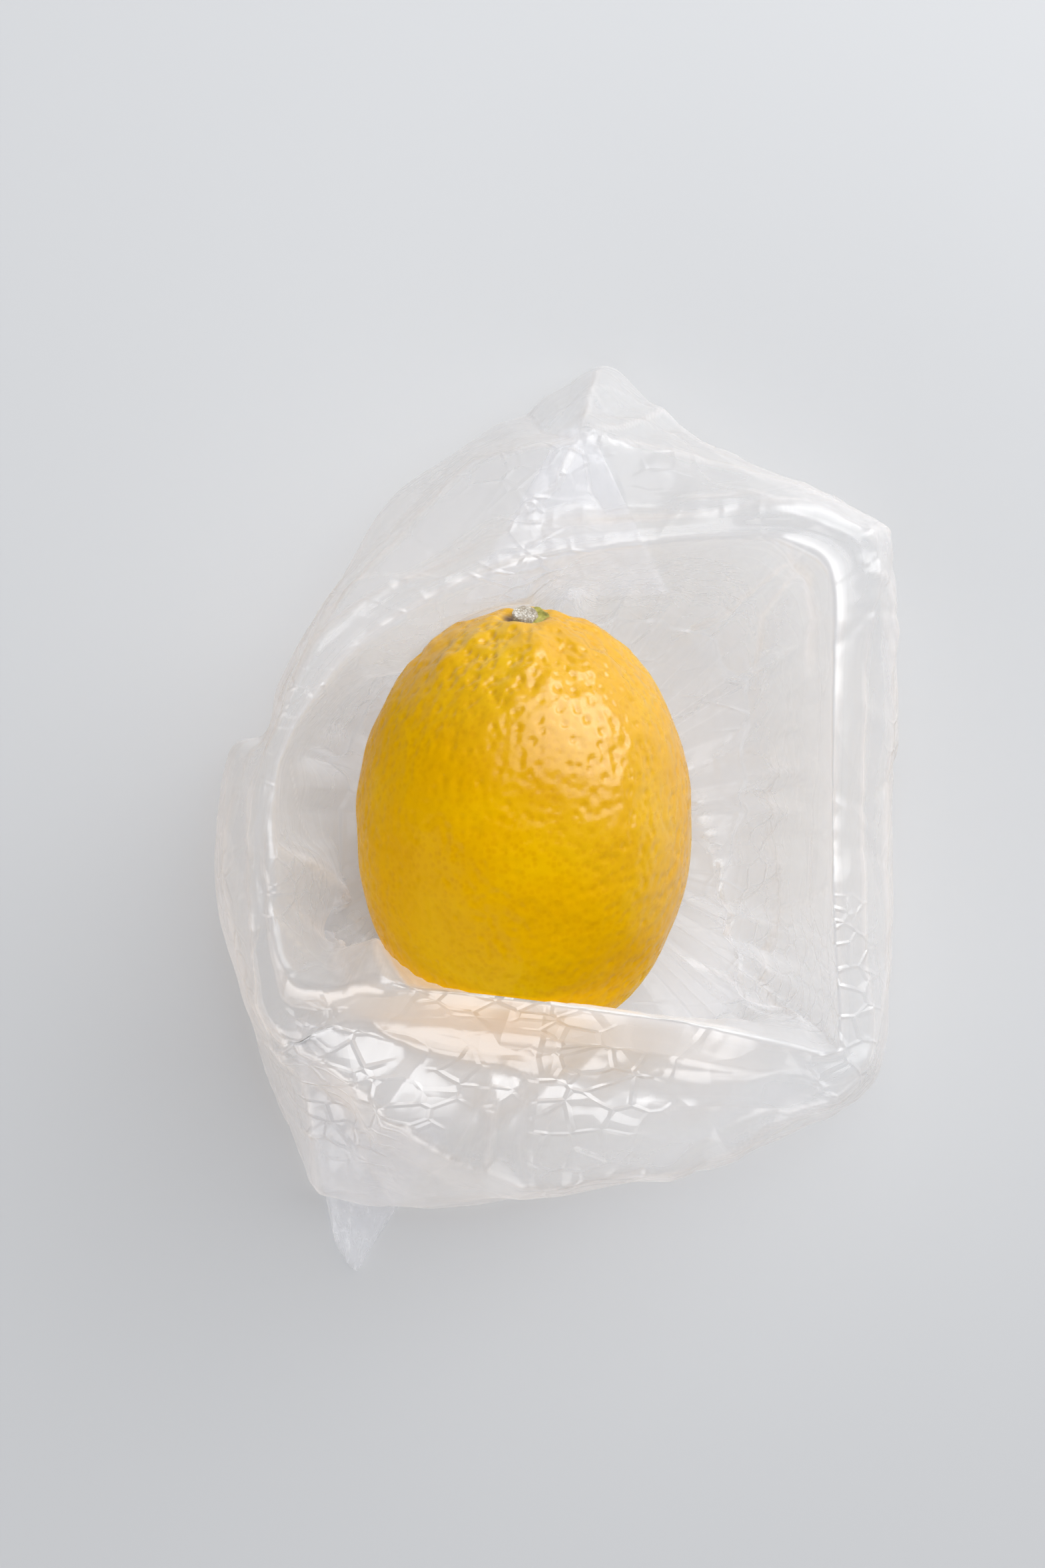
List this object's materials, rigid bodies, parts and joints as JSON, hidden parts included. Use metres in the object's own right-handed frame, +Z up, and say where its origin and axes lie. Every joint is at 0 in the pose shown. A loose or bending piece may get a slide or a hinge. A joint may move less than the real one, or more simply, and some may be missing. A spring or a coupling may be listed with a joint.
{
  "type": "lemon in an open plastic bag",
  "caption": "Whole lemon lying in a thin, crinkled, translucent plastic produce bag whose open mouth is turned outwards into a cuff.",
  "frame": {"origin": "centre of the object's footprint, on the surface it rests on", "axes": "+Z up; +Y along the lemon towards its stem end, which leans up 14 degrees; +X to the right of that, towards the bag's roomy side"},
  "size_m": [0.1282, 0.1694, 0.0643],
  "materials": {
    "peel": "waxy, pitted with oil glands, satin gloss",
    "calyx_green": "dull, dry, yellow-green",
    "cut_wood": "rough, grey, dried cut stem",
    "clear_film": "thin milky translucent film, crinkled, glossy on the folds"
  },
  "bodies": {
    "root": {"lemon": "peel", "calyx": "calyx_green", "stem_stub": "cut_wood", "bag": "clear_film"}
  },
  "joints": []
}
